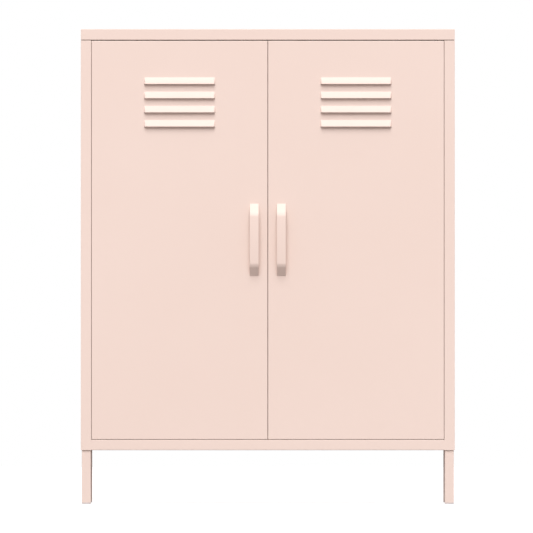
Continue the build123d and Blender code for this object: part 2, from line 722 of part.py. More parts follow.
# ---- Magnetic catches under the cap's front lip ----
def catch_housing(side):
    """Moulded block with a pocket for the magnet and a screw hole at each end."""
    middle = side * CATCH_X
    with BuildPart() as housing:
        block(
            (middle - CATCH_LENGTH / 2, CATCH_FRONT, CATCH_LOW),
            (middle + CATCH_LENGTH / 2, CATCH_REAR, CAP_BOTTOM),
        )
        fillet(housing.edges().filter_by(Axis.Z), 1.5)
        block(
            (middle - MAGNET_LENGTH / 2, CATCH_FRONT - 1, MAGNET_LOW),
            (middle + MAGNET_LENGTH / 2, MAGNET_REAR, MAGNET_LOW + MAGNET_HEIGHT),
            mode=Mode.SUBTRACT,
        )
        screw_points = [(side * x, CATCH_Y, CATCH_LOW) for x in CATCH_SCREW_XS]
        drill(screw_points, "Z", CATCH_SCREW + 0.15, reach=CATCH_HEIGHT + 1)
    return housing.part


for name, side in SIDES.items():
    save(catch_housing(side), f"{name}_catch_housing")

with BuildPart() as catch_magnets:
    for side in (LEFT, RIGHT):
        middle = side * CATCH_X
        block(
            (middle - MAGNET_LENGTH / 2, MAGNET_FRONT, MAGNET_LOW),
            (middle + MAGNET_LENGTH / 2, MAGNET_REAR, MAGNET_LOW + MAGNET_HEIGHT),
        )
save(catch_magnets.part, "catch_magnets")

with BuildPart() as catch_screws:
    screw_places = [
        along((side * x, CATCH_Y, CATCH_LOW), "+Z") for side in (LEFT, RIGHT) for x in CATCH_SCREW_XS
    ]
    bolts(screw_places, CATCH_SCREW, CATCH_HEIGHT + 4, 3.0, 1.8)
save(catch_screws.part, "catch_screws")


# ---- Door stop on the deck ----
with BuildPart() as door_stop:
    block((-STOP_HALF, STOP_Y, DECK), (STOP_HALF, STOP_Y + STOP_PLATE, DECK + STOP_HEIGHT))
    block((-STOP_HALF, STOP_Y, DECK), (STOP_HALF, STOP_Y + STOP_FOOT, DECK + STOP_PLATE))
    drill([(side * STOP_SCREW_X, STOP_SCREW_Y, DECK) for side in (LEFT, RIGHT)], "Z", M4_HOLE)
save(door_stop.part, "door_stop")

with BuildPart() as stop_buffers:
    buffer_places = [along((side * BUFFER_X, STOP_Y, DECK + 10), "-Y") for side in (LEFT, RIGHT)]
    with Locations(*buffer_places):
        Cylinder(BUFFER_R, 1.4, align=(Align.CENTER, Align.CENTER, Align.MIN))
save(stop_buffers.part, "stop_buffers")

with BuildPart() as stop_screws:
    stop_places = [
        along((side * STOP_SCREW_X, STOP_SCREW_Y, DECK + STOP_PLATE), "-Z") for side in (LEFT, RIGHT)
    ]
    bolts(stop_places, M4, 8.0, M4_HEAD, M4_HEAD_HEIGHT)
save(stop_screws.part, "stop_screws")
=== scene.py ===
# %% [markdown]
# # A steel locker cabinet with louvred doors
# The cabinet is folded from thin sheet steel and powder coated in blush pink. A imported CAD
# model already fixes every size and joint, so this lesson never measures by eye: it asks the
# frame where each piece is and builds a finer skin there. The lesson runs from the finishes,
# through the folded panels and the fittings, to the camera and the light.

# %% Load the frame
import json
from math import atan2, cos, pi, radians, sin, sqrt

import bmesh
import bpy
from bmesh.types import BMEdge, BMVert
from mathutils import Matrix, Vector


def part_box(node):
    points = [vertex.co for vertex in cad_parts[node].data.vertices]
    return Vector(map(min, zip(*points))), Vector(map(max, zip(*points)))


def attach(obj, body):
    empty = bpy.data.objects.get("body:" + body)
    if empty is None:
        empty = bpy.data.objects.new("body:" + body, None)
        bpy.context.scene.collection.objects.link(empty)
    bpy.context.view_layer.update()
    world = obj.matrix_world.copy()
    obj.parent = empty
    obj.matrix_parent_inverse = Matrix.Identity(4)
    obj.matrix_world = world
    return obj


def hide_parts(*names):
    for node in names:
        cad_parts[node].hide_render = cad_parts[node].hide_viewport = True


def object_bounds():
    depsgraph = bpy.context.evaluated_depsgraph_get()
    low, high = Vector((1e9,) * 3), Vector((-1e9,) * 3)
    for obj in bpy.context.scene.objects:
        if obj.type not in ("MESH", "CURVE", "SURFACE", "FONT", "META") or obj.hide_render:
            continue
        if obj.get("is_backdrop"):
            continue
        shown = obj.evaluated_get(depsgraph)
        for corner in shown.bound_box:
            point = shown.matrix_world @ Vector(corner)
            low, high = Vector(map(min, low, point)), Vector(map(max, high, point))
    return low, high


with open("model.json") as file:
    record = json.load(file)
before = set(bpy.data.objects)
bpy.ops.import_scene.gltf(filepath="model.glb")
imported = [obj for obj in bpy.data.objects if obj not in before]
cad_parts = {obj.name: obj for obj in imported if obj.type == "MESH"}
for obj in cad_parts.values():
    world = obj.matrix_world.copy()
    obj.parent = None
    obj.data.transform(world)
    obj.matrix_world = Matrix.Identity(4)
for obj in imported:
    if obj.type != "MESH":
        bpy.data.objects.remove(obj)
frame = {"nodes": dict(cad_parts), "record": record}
nodes = frame["nodes"]
record = frame["record"]
cad_low, cad_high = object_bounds()
print("cabinet box in metres:", [round(v, 4) for v in cad_high - cad_low])

# %% [markdown]
# ## Places read from the frame
# A folded cabinet is mostly planes: the front of the posts, the jambs beside the doors, the
# deck, the underside of the cap. They could be typed in again, but then the skin would drift
# from the CAD model after any change. Each is read from the box of a piece that has it.

# %% Planes of the carcass
cap_low, cap_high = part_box("top_panel")
rail_low, rail_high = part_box("bottom_panel")
door_low, door_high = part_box("right_door_panel")
FRONT = cap_low.y
BACK = cap_high.y
OUTSIDE = cap_high.x
CAP_UNDERSIDE = cap_low.z
DECK = rail_high.z
RAIL_FOOT = rail_low.z
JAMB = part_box("right_side_panel")[0].x
DOOR_REAR = door_high.y
LOUVRE_REACH = FRONT - door_low.y
print(f"front {FRONT:.4f}, jamb {JAMB:.4f}, deck {DECK:.4f}, louvre reach {LOUVRE_REACH:.4f}")

# %% Sheet metal
GAUGE = 0.0008
FOLD = 0.0012
SIDES = {"left": -1, "right": 1}
print(f"sheet {1000 * GAUGE:.1f} mm thick, folded to an outer radius of {1000 * FOLD:.1f} mm")

# %% [markdown]
# ## Powder coat
# Powder coat is a baked polyester skin about a tenth of a millimetre thick. It has a satin
# sheen, a fine dimpled texture like orange peel, and a colour that drifts a little from place
# to place. An image could carry all this, but it would stretch and repeat: noise on object
# coordinates keeps the dimples one size on every panel.

# %% A finish with plain values
FINISHES = {}


def new_finish(slot, colour, roughness, **values):
    """A Principled material for one slot, with its plain values on the shader's own sockets."""
    finish = bpy.data.materials.new(f"{slot}_finish")
    FINISHES[slot] = finish
    finish.use_nodes = True
    shader = finish.node_tree.nodes["Principled BSDF"]
    shader.inputs["Base Color"].default_value = (*colour, 1)
    shader.inputs["Roughness"].default_value = roughness
    for socket, value in values.items():
        shader.inputs[socket.replace("_", " ")].default_value = value
    finish.diffuse_color = (*colour, 1)
    return finish


# %% Values that vary over the surface
NOISE_LOW = 0.3
NOISE_HIGH = 0.7


def noise(finish, scale, detail, stretch=(1, 1, 1)):
    """Noise that is fixed to the piece; a larger scale makes finer grain."""
    tree = finish.node_tree
    coordinates = tree.nodes.new("ShaderNodeTexCoord")
    mapping = tree.nodes.new("ShaderNodeMapping")
    mapping.inputs["Scale"].default_value = stretch
    grain = tree.nodes.new("ShaderNodeTexNoise")
    grain.inputs["Scale"].default_value = scale
    grain.inputs["Detail"].default_value = detail
    tree.links.new(coordinates.outputs["Object"], mapping.inputs["Vector"])
    tree.links.new(mapping.outputs["Vector"], grain.inputs["Vector"])
    return grain.outputs["Fac"]


def spread(finish, value, low, high):
    """Maps the middle of a noise's range to a range of its own."""
    ramp = finish.node_tree.nodes.new("ShaderNodeMapRange")
    ramp.inputs["From Min"].default_value = NOISE_LOW
    ramp.inputs["From Max"].default_value = NOISE_HIGH
    ramp.inputs["To Min"].default_value = low
    ramp.inputs["To Max"].default_value = high
    finish.node_tree.links.new(value, ramp.inputs["Value"])
    return ramp.outputs["Result"]


def shades(finish, value, dark, light):
    """Two near colours mixed by a noise value."""
    mix = finish.node_tree.nodes.new("ShaderNodeMix")
    mix.data_type = "RGBA"
    mix.inputs["A"].default_value = (*dark, 1)
    mix.inputs["B"].default_value = (*light, 1)
    finish.node_tree.links.new(value, mix.inputs["Factor"])
    return mix.outputs["Result"]


# %% Values linked to the shader
def plug(finish, value, socket):
    """Links a value to one socket of the shader."""
    shader = finish.node_tree.nodes["Principled BSDF"]
    finish.node_tree.links.new(value, shader.inputs[socket])


def relief(finish, value, depth, strength):
    """Bump on the shader's normal, with its depth in metres."""
    bump = finish.node_tree.nodes.new("ShaderNodeBump")
    bump.inputs["Distance"].default_value = depth
    bump.inputs["Strength"].default_value = strength
    finish.node_tree.links.new(value, bump.inputs["Height"])
    plug(finish, bump.outputs["Normal"], "Normal")


# %% Blush powder coat
powder_coat = new_finish("powder_coat", (0.825, 0.703, 0.638), roughness=0.56, Specular_IOR_Level=0.3)
drift = spread(powder_coat, noise(powder_coat, scale=2.5, detail=3), 0, 1)
blush = shades(powder_coat, drift, dark=(0.818, 0.694, 0.628), light=(0.832, 0.712, 0.648))
plug(powder_coat, blush, "Base Color")
plug(powder_coat, spread(powder_coat, noise(powder_coat, scale=18, detail=3), 0.51, 0.61), "Roughness")
relief(powder_coat, noise(powder_coat, scale=420, detail=2), depth=0.00003, strength=0.35)
print("powder coat nodes:", len(powder_coat.node_tree.nodes))

# %% [markdown]
# ## Bare steel, plastics, ferrite and rubber
# Bolts and pins are zinc plated: a dull silver with a faint blue and yellow cast and fine
# drawing lines. The moulded parts have the dull, slightly pebbled skin of an eroded mould.
# The catch magnet is pressed ferrite, grainy and nearly black, and the door buffers are
# a soft rubber. Each is a short node tree with its own grain and roughness.

# %% Zinc plating
zinc = new_finish("zinc_plated_steel", (0.70, 0.70, 0.68), roughness=0.34, Metallic=1.0)
cast = spread(zinc, noise(zinc, scale=260, detail=4), 0, 1)
plug(zinc, shades(zinc, cast, dark=(0.62, 0.64, 0.67), light=(0.76, 0.74, 0.68)), "Base Color")
drawn = noise(zinc, scale=500, detail=3, stretch=(1, 1, 0.2))
plug(zinc, spread(zinc, drawn, 0.28, 0.44), "Roughness")
relief(zinc, noise(zinc, scale=1500, detail=3), depth=0.00001, strength=0.3)
print("zinc plating nodes:", len(zinc.node_tree.nodes))


# %% Nylon, moulded plastics, ferrite, rubber
def moulded(slot, colour, roughness, grain, depth):
    """A moulded or pressed material: near-even colour, even pebbled skin."""
    finish = new_finish(slot, colour, roughness)
    dark = [c * 0.94 for c in colour]
    light = [min(1.0, c * 1.04) for c in colour]
    cloud = spread(finish, noise(finish, scale=60, detail=3), 0, 1)
    plug(finish, shades(finish, cloud, dark, light), "Base Color")
    rubbed = noise(finish, scale=300, detail=2)
    plug(finish, spread(finish, rubbed, roughness - 0.05, roughness + 0.06), "Roughness")
    relief(finish, noise(finish, scale=grain, detail=2), depth, strength=0.4)


moulded("nylon", (0.025, 0.025, 0.026), 0.42, grain=1400, depth=0.00002)
moulded("glide_plastic", (0.70, 0.66, 0.66), 0.5, grain=1600, depth=0.00003)
moulded("catch_plastic", (0.82, 0.79, 0.76), 0.42, grain=1500, depth=0.00002)
moulded("ferrite", (0.035, 0.034, 0.036), 0.55, grain=2200, depth=0.00004)
moulded("rubber", (0.085, 0.08, 0.075), 0.7, grain=1800, depth=0.00004)
print("finishes:", ", ".join(FINISHES))

# %% [markdown]
# ## From a bmesh to a piece of the cabinet
# Sheet steel has one thickness everywhere, so a panel is modelled as the outer skin only, and
# a Solidify modifier adds the gauge on the inside. A small Bevel takes the razor edge off
# every cut, as the coating does, and Weighted Normal keeps the flats flat beside the folds.

# %% Finishing a piece
RIM = 0.0002
EDGE_ANGLE = radians(40)
SMOOTH_ANGLE = radians(35)


def settle(name, bm, slot, body, node, wall=0.0, rim=RIM):
    """Makes a piece of a bmesh, gives it a wall, an edge and a finish, and hangs it on its body."""
    mesh = bpy.data.meshes.new(name)
    bm.to_mesh(mesh)
    bm.free()
    mesh.shade_smooth()
    piece = bpy.data.objects.new(name, mesh)
    bpy.context.scene.collection.objects.link(piece)
    mesh.materials.append(FINISHES[slot])
    if wall:
        gauge = piece.modifiers.new("gauge", "SOLIDIFY")
        gauge.thickness = wall
        gauge.offset = -1
        gauge.use_even_offset = True
    if rim:
        edge = piece.modifiers.new("edge", "BEVEL")
        edge.width = rim
        edge.segments = 2
        edge.limit_method = "ANGLE"
        edge.angle_limit = EDGE_ANGLE
    else:
        mesh.set_sharp_from_angle(angle=SMOOTH_ANGLE)
    piece.modifiers.new("shading", "WEIGHTED_NORMAL")
    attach(piece, body)
    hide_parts(node)
    return piece


# %% [markdown]
# ## Working a sheet
# A sheet metal shop needs few moves: draw a flange out of an edge, cut along a line, round
# the folds. The same moves as short functions on a bmesh make every panel of the cabinet.
# Edges could be picked by number, but numbers change with each cut, so they are picked by
# where they lie and by the angle of the fold.

# %% What an operator made
def new_verts(result):
    """The vertices in what an operator made."""
    return [item for item in result["geom"] if isinstance(item, BMVert)]


def new_edges(result):
    """The edges in what an operator made."""
    return [item for item in result["geom"] if isinstance(item, BMEdge)]


def pull_edges(bm, edges, vec):
    """Extrudes edges, moves the new ones by a vector and returns them."""
    result = bmesh.ops.extrude_edge_only(bm, edges=edges)
    bmesh.ops.translate(bm, verts=new_verts(result), vec=vec)
    return new_edges(result)


def pull_face(bm, face, vec, keep=True):
    """Extrudes a face and moves the new one; the old one closes the solid where it is kept."""
    result = bmesh.ops.extrude_face_region(bm, geom=[face], use_keep_orig=keep)
    bmesh.ops.translate(bm, verts=new_verts(result), vec=vec)


# %% Picking edges
# Lengths are in metres and angles in radians.
X, Y, Z = range(3)
NEAR = 1e-6
SHORT_EDGE = 0.01
LONG_EDGE = 0.1
FOLD_ANGLE = 0.3
SQUARE_ANGLE = 1.2


def extent(edge, axis):
    """How far an edge reaches along one axis."""
    return abs(edge.verts[0].co[axis] - edge.verts[1].co[axis])


def lies_at(edge, axis, place):
    """Whether both ends of an edge are at one place along an axis."""
    return all(abs(vert.co[axis] - place) < NEAR for vert in edge.verts)


def upright_folds(bm):
    """Edges where two upright faces of a sheet meet."""
    return [edge for edge in bm.edges
            if extent(edge, Z) > SHORT_EDGE and edge.calc_face_angle(0) > FOLD_ANGLE]


def level_folds(bm):
    """Edges where a level face meets an upright one."""
    return [edge for edge in bm.edges if extent(edge, Z) < NEAR and edge.calc_face_angle(0) > FOLD_ANGLE]


# %% Operators used on every folded panel
SQUARE_ON = 0.9


def bend(bm, folds, radius=FOLD, segments=4):
    """Rounds the given folds."""
    bmesh.ops.bevel(bm, geom=folds, offset=radius, segments=segments, profile=0.5, affect="EDGES",
                    material=-1, clamp_overlap=True)


def cut(bm, faces, place, normal):
    """Cuts only the given faces along a plane."""
    edges = dict.fromkeys(edge for face in faces for edge in face.edges)
    bmesh.ops.bisect_plane(bm, geom=[*faces, *edges], plane_co=place, plane_no=normal)


def all_outwards(bm):
    """Turns the faces of a whole shape outwards."""
    bmesh.ops.recalc_face_normals(bm, faces=bm.faces[:])


def face_out(bm, direction):
    """Turns a sheet so that its skin faces a direction where it lies furthest that way."""
    direction = Vector(direction)
    all_outwards(bm)
    bm.normal_update()
    square = [face for face in bm.faces if abs(face.normal.dot(direction)) > SQUARE_ON]
    outermost = max(square, key=lambda face: face.calc_center_median().dot(direction))
    if outermost.normal.dot(direction) < 0:
        bmesh.ops.reverse_faces(bm, faces=bm.faces[:])


# %% A flat face, a raised sheet and a tray
def rectangle(low, high):
    """The four corners of a box seen from above."""
    return [(low.x, low.y), (high.x, low.y), (high.x, high.y), (low.x, high.y)]


def flat_face(bm, outline, level):
    """A level face on an outline seen from above."""
    return bm.faces.new([bm.verts.new((x, y, level)) for x, y in outline])


def raise_sheet(corners, low, high):
    """Stands a sheet up on a line of corners seen from above."""
    bm = bmesh.new()
    line = [bm.verts.new((x, y, low)) for x, y in corners]
    pull_edges(bm, [bm.edges.new(pair) for pair in zip(line, line[1:])], (0, 0, high - low))
    return bm


def tray(outline, low, high, lip):
    """A box on an outline whose underside is opened, with a lip left all round it."""
    bm = bmesh.new()
    underside = flat_face(bm, outline, low)
    pull_face(bm, underside, (0, 0, high - low))
    all_outwards(bm)
    bmesh.ops.inset_region(bm, faces=[underside], thickness=lip, use_even_offset=True)
    opening = list(underside.verts)
    bmesh.ops.delete(bm, geom=[underside], context="FACES")
    return bm, opening


# %% [markdown]
# ## The cap
# The cap is a shallow tray turned over: its four edges are folded down and then in, so no
# cut edge shows. The front lip is deeper, because the hinge bushes and the catches sit in it.
# A box with its underside inset and opened gives every fold in one step.

# %% Cap
CAP_LIP = 0.022
CAP_FRONT_LIP = 0.032
cap_mesh, cap_opening = tray(rectangle(cap_low, cap_high), CAP_UNDERSIDE, cap_high.z, CAP_LIP)
front_lip = [vert for vert in cap_opening if vert.co.y < 0]
bmesh.ops.translate(cap_mesh, verts=front_lip, vec=(0, CAP_FRONT_LIP - CAP_LIP, 0))
bend(cap_mesh, level_folds(cap_mesh))
cap = settle("cap_skin", cap_mesh, "powder_coat", "cabinet", "top_panel", GAUGE)
print("cap faces:", len(cap.data.polygons))

# %% [markdown]
# ## The bottom panel
# The deck is the floor of the locker. Its skirts turn down all round and follow the posts,
# so its outline is notched at the four corners. Only the front skirt shows, as the rail under
# the doors. It is the same tray as the cap, on an outline with twelve corners.

# %% Bottom panel
POST_DEPTH = 0.040
RAIL_LIP = 0.015
WEB = OUTSIDE - GAUGE
half_deck = [(JAMB, FRONT), (JAMB, FRONT + POST_DEPTH), (WEB, FRONT + POST_DEPTH),
             (WEB, BACK - POST_DEPTH), (JAMB, BACK - POST_DEPTH), (JAMB, rail_high.y)]
deck_outline = half_deck + [(-x, y) for x, y in reversed(half_deck)]
deck_mesh, _ = tray(deck_outline, RAIL_FOOT, DECK, RAIL_LIP)
bend(deck_mesh, [edge for edge in level_folds(deck_mesh) if edge.calc_length() > LONG_EDGE])
deck = settle("deck_skin", deck_mesh, "powder_coat", "cabinet", "bottom_panel", GAUGE)
print("deck faces:", len(deck.data.polygons))

# %% [markdown]
# ## The side panels
# Each side is one sheet whose front and rear edges fold round into hollow posts, which hide
# the tops of the legs. The fold beside the door is round above the deck and dressed square
# below it, where the rail is welded to the post and ground flush. Between the posts the top
# edge rises a millimetre more and folds in, to carry the cap. The section is drawn as a line
# of corners, raised to full height, cut level with the deck, and only then bevelled.

# %% The flange under the cap
POST_RELIEF = 0.001
FLANGE_CLEARANCE = 0.002
SEAT_FLANGE = 0.021
POST_TOP = CAP_UNDERSIDE - POST_RELIEF


def fold_seat(bm, side):
    """Raises the top edge between the posts and folds it in."""
    for y in (FRONT + POST_DEPTH + FLANGE_CLEARANCE, BACK - POST_DEPTH - FLANGE_CLEARANCE):
        web = [face for face in bm.faces if all(lies_at(edge, X, side * OUTSIDE) for edge in face.edges)]
        cut(bm, web, (0, y, 0), (0, 1, 0))
    top = [edge for edge in bm.edges if lies_at(edge, Z, POST_TOP) and extent(edge, Y) > LONG_EDGE]
    riser = pull_edges(bm, top, (0, 0, POST_RELIEF))
    pull_edges(bm, riser, (-side * SEAT_FLANGE, 0, 0))


# %% Side panels
def is_dressed(edge):
    """Whether an edge is the part of a front fold that is welded to the rail."""
    first, second = edge.verts
    return first.co.z + second.co.z < 2 * DECK and abs(first.co.x) < JAMB + NEAR and first.co.y < 0


post_section = [(JAMB, FRONT + POST_DEPTH), (JAMB, FRONT), (OUTSIDE, FRONT), (OUTSIDE, BACK),
                (JAMB, BACK), (JAMB, BACK - POST_DEPTH)]
for name, side in SIDES.items():
    panel = raise_sheet([(side * x, y) for x, y in post_section], RAIL_FOOT, POST_TOP)
    cut(panel, panel.faces[:], (0, 0, DECK - FOLD), (0, 0, 1))
    fold_seat(panel, side)
    face_out(panel, (side, 0, 0))
    bend(panel, level_folds(panel), radius=0.9 * POST_RELIEF, segments=3)
    bend(panel, [edge for edge in upright_folds(panel) if not is_dressed(edge)])
    skin = settle(f"{name}_side_skin", panel, "powder_coat", "cabinet", f"{name}_side_panel", GAUGE)
    print(skin.name, "faces:", len(skin.data.polygons))

# %% [markdown]
# ## The back panels
# Two sheets close the back. Each has a flange along its inner edge, and the two flanges are
# bolted together as a rib that stiffens the whole back. Near the top each has one hole for
# a wall anchor. A round hole in a flat sheet starts as a square cell: its sides are divided,
# it is inset, and the inner ring of vertices is drawn on to a circle before the middle goes.

# %% Hole through a flat upright sheet
anchors = next(mount for mount in record["mounts"] if mount["name"] == "wall_anchor_holes")
ANCHOR_RADIUS = anchors["dims"]["hole_r_mm"] / 1000
ANCHOR_X = anchors["dims"]["spacing_x_mm"] / 2000
ANCHOR_Z = anchors["pos_m"][2]
ANCHOR_CELL = 2.2 * ANCHOR_RADIUS
ANCHOR_INSET = 0.4 * ANCHOR_RADIUS
print(f"anchor holes {2000 * ANCHOR_RADIUS:.1f} mm wide, {2000 * ANCHOR_X:.0f} mm apart")


def drill_back(bm, x):
    """Cuts the round hole of a wall anchor in the back sheet, with a flat square round it."""
    for offset in (-ANCHOR_CELL, ANCHOR_CELL):
        cut(bm, bm.faces[:], (x + offset, 0, 0), (1, 0, 0))
    for offset in (-ANCHOR_CELL, ANCHOR_CELL):
        cut(bm, bm.faces[:], (0, 0, ANCHOR_Z + offset), (0, 0, 1))
    centre = Vector((x, BACK, ANCHOR_Z))

    def nearest_face():
        return min(bm.faces, key=lambda face: (face.calc_center_median() - centre).length)

    bmesh.ops.subdivide_edges(bm, edges=nearest_face().edges[:], cuts=3)
    hole = nearest_face()
    bmesh.ops.inset_region(bm, faces=[hole], thickness=ANCHOR_INSET, use_even_offset=True)
    for vert in hole.verts:
        vert.co = centre + (vert.co - centre).normalized() * ANCHOR_RADIUS
    bmesh.ops.delete(bm, geom=[hole], context="FACES")


# %% Back panels
BACK_FLANGE = 0.020
back_section = [(0, BACK - BACK_FLANGE), (0, BACK), (JAMB, BACK), (JAMB, BACK - BACK_FLANGE)]
for name, side in SIDES.items():
    panel = raise_sheet([(side * x, y) for x, y in back_section], DECK, CAP_UNDERSIDE)
    flat = [edge for edge in panel.edges if lies_at(edge, Y, BACK) and extent(edge, X) > LONG_EDGE]
    foot_edge, top_edge = sorted(flat, key=lambda edge: edge.verts[0].co.z)
    pull_edges(panel, [top_edge], (0, -BACK_FLANGE, 0))
    pull_edges(panel, [foot_edge], (0, 0, RAIL_FOOT - DECK))
    drill_back(panel, side * ANCHOR_X)
    face_out(panel, (0, 1, 0))
    bend(panel, upright_folds(panel) + level_folds(panel))
    skin = settle(f"{name}_back_skin", panel, "powder_coat", "cabinet", f"{name}_back_panel", GAUGE)
    print(skin.name, "faces:", len(skin.data.polygons))

# %% [markdown]
# ## The doors and their louvres
# A door is a shallow pan: a face, four edges folded back, and a return folded in behind each.
# The louvres are pressed in one blow: a punch slits the sheet along the lower line and pushes
# the metal above it out into a hood. The mesh copies that. The face is cut into cells only in
# the louvre column, each cell is inset, and the quad under its lip is deleted, which slits the
# sheet. The cell is then cut finer and drawn forward by a rule: a slightly bulging slope with
# a soft fold at its top and a short nose at its lip, rounded upper corners, and elliptical
# ends.

# %% Louvre sizes
LOUVRE_HALF = 0.076
LOUVRE_RISE = 0.0142
LOUVRE_NOSE = 0.0008
HOOD_BULGE = 0.35
HOOD_CORNER = 0.003
HOOD_END = 0.004
HOOD_FOLD = 0.001
HOOD_WALL = 0.0004
HOOD_COLUMNS = (0.0007, 0.0012, 0.0018, 0.0026, HOOD_END)
HOOD_ROWS = (LOUVRE_NOSE, 0.0014, 0.0026, 0.004, 0.0055, 0.007, 0.0085, 0.010, 0.0112, 0.0122,
             0.0132, 0.0138, 0.0144)
cad_door = nodes["right_door_panel"]
door_points = [cad_door.matrix_world @ vert.co for vert in cad_door.data.vertices]
forward = sorted({round(point.z, 5) for point in door_points if point.y < FRONT - LOUVRE_REACH + NEAR})
lips = [z for z, below in zip(forward, [0] + forward) if z - below > LOUVRE_RISE / 2]
print("louvre lips at", lips)


# %% The shape of a hood
def soft_ramp(value, soft):
    """Nothing below zero, the value above it, and a parabola between the two."""
    return max(0.0, value) if abs(value) >= soft else (value + soft) ** 2 / (4 * soft)


def hood_height(inside, rise):
    """How far a hood stands out of the door, by the distance inside its end and above its lip."""
    drop = soft_ramp(LOUVRE_RISE - rise, HOOD_FOLD)
    run = min(1.0, drop / (LOUVRE_RISE - LOUVRE_NOSE))
    height = LOUVRE_REACH * run * (1 + HOOD_BULGE - HOOD_BULGE * run)
    curl = max(0.0, HOOD_CORNER - drop)
    inside -= HOOD_CORNER - sqrt(HOOD_CORNER ** 2 - curl ** 2)
    if inside < NEAR:
        return 0.0
    return height * sqrt(1 - (1 - min(1.0, inside / HOOD_END)) ** 2)


# %% Pressing one louvre
def hood_faces(bm, middle, lip):
    """The faces of one hood, seen from the front."""
    def within(point):
        return abs(point.x - middle) < LOUVRE_HALF and 0 < point.z - lip < LOUVRE_RISE + HOOD_FOLD
    return [face for face in bm.faces if within(face.calc_center_median())]


def press_louvre(bm, middle, lip):
    """Slits the sheet along a lip and presses the cell above it out into a hood."""
    cell = hood_faces(bm, middle, lip)[0]
    bmesh.ops.inset_region(bm, faces=[cell], thickness=HOOD_WALL, use_even_offset=True)
    mouth = min(hood_faces(bm, middle, lip), key=lambda face: face.calc_center_median().z)
    bmesh.ops.delete(bm, geom=[mouth], context="FACES")
    for vert in cell.verts:
        if vert.co.z < lip + 2 * HOOD_WALL:
            vert.co.z = lip
    for inside in HOOD_COLUMNS:
        for x in (middle - LOUVRE_HALF + inside, middle + LOUVRE_HALF - inside):
            cut(bm, hood_faces(bm, middle, lip), (x, 0, 0), (1, 0, 0))
    for rise in HOOD_ROWS:
        cut(bm, hood_faces(bm, middle, lip), (0, 0, lip + rise), (0, 0, 1))
    for vert in {vert for face in hood_faces(bm, middle, lip) for vert in face.verts}:
        vert.co.y = FRONT - hood_height(LOUVRE_HALF - abs(vert.co.x - middle), vert.co.z - lip)


# %% [markdown]
# ## The pan of a door
# The coat narrows the fine gaps round the doors, because it lies on the door's edge and on
# the edge across the gap. A door's skin takes up both coats at its hinge side and its foot,
# and its own in the middle, where the other door has its own too. The gap under the cap is
# wide and stays as it is, and every other skin keeps the size of its solid.

# %% Door sizes
DOOR_RETURN = 0.014
COAT = 0.000075


def coated_corners(name, side):
    """The lowest and the highest corner of a door with its coat."""
    low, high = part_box(f"{name}_door_panel")
    low -= Vector((COAT * (2 if side < 0 else 1), 0, 2 * COAT))
    high.x += COAT * (2 if side > 0 else 1)
    return low, high


def louvred_face(bm, low, high, middle):
    """The front of a door, from corner to corner, with its louvres."""
    bm.faces.new([bm.verts.new((x, FRONT, z))
                  for x, z in ((low.x, low.z), (high.x, low.z), (high.x, high.z), (low.x, high.z))])
    for x in (middle - LOUVRE_HALF, middle + LOUVRE_HALF):
        cut(bm, bm.faces[:], (x, 0, 0), (1, 0, 0))
    for lip in lips:
        for z in (lip, lip + LOUVRE_RISE + HOOD_FOLD):
            column = [face for face in bm.faces if abs(face.calc_center_median().x - middle) < LOUVRE_HALF]
            cut(bm, column, (0, 0, z), (0, 0, 1))
    for lip in lips:
        press_louvre(bm, middle, lip)


# %% Door skins
def door_skin(name, side):
    """The folded pan of one door with its pressed louvres."""
    cad_left, cad_right = (corner.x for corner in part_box(f"{name}_door_panel"))
    low, high = coated_corners(name, side)
    bm = bmesh.new()
    louvred_face(bm, low, high, (cad_left + cad_right) / 2)
    limits = [(axis, corner[axis]) for axis in (X, Z) for corner in (low, high)]
    outer = [edge for edge in bm.edges
             if edge.is_boundary and any(lies_at(edge, axis, place) for axis, place in limits)]
    rear = pull_edges(bm, outer, (0, DOOR_REAR - FRONT, 0))
    for vert in new_verts(bmesh.ops.extrude_edge_only(bm, edges=rear)):
        vert.co.x += DOOR_RETURN * ((vert.co.x < low.x + NEAR) - (vert.co.x > high.x - NEAR))
        vert.co.z += DOOR_RETURN * ((vert.co.z < low.z + NEAR) - (vert.co.z > high.z - NEAR))
    face_out(bm, (-side, 0, 0))
    pan_folds = [edge for edge in bm.edges
                 if edge.calc_face_angle(0) > SQUARE_ANGLE and edge.calc_length() > SHORT_EDGE
                 and (lies_at(edge, Y, FRONT) or lies_at(edge, Y, DOOR_REAR))]
    bend(bm, pan_folds)
    return settle(f"{name}_door_skin", bm, "powder_coat", f"{name}_door", f"{name}_door_panel", GAUGE)


for name, side in SIDES.items():
    skin = door_skin(name, side)
    print(skin.name, "faces:", len(skin.data.polygons))

# %% [markdown]
# ## The handles
# Each handle is a bow of flat bar, gently arched. Its ends slope back to the door and spread
# into feet that take the screws. In profile it is one closed outline, so a single face is
# drawn from the side and extruded across the width. The bends are long bevels, about 17 mm in
# radius outside and 12 mm inside, and the arch is a parabola laid on a few cross cuts.

# %% Shape of a handle
HANDLE_SLOPE = 0.022
HANDLE_ARCH = 0.0015
HANDLE_BAR = 0.005
HANDLE_STEP = 0.004
HANDLE_FOOT = 0.016
HANDLE_TANGENT = 0.0058
HANDLE_EASE = 0.0012
ARCH_CUTS = 4


def bow_outline(shoulder, half, rise):
    """A bow seen from the side, about its middle: outer line, feet and inner line."""
    outer = [(FRONT, half), (shoulder, rise)]
    inner = [(shoulder + HANDLE_BAR, rise - HANDLE_STEP), (FRONT, half - HANDLE_FOOT)]
    return outer + [(y, -z) for y, z in outer[::-1] + inner[::-1]] + inner


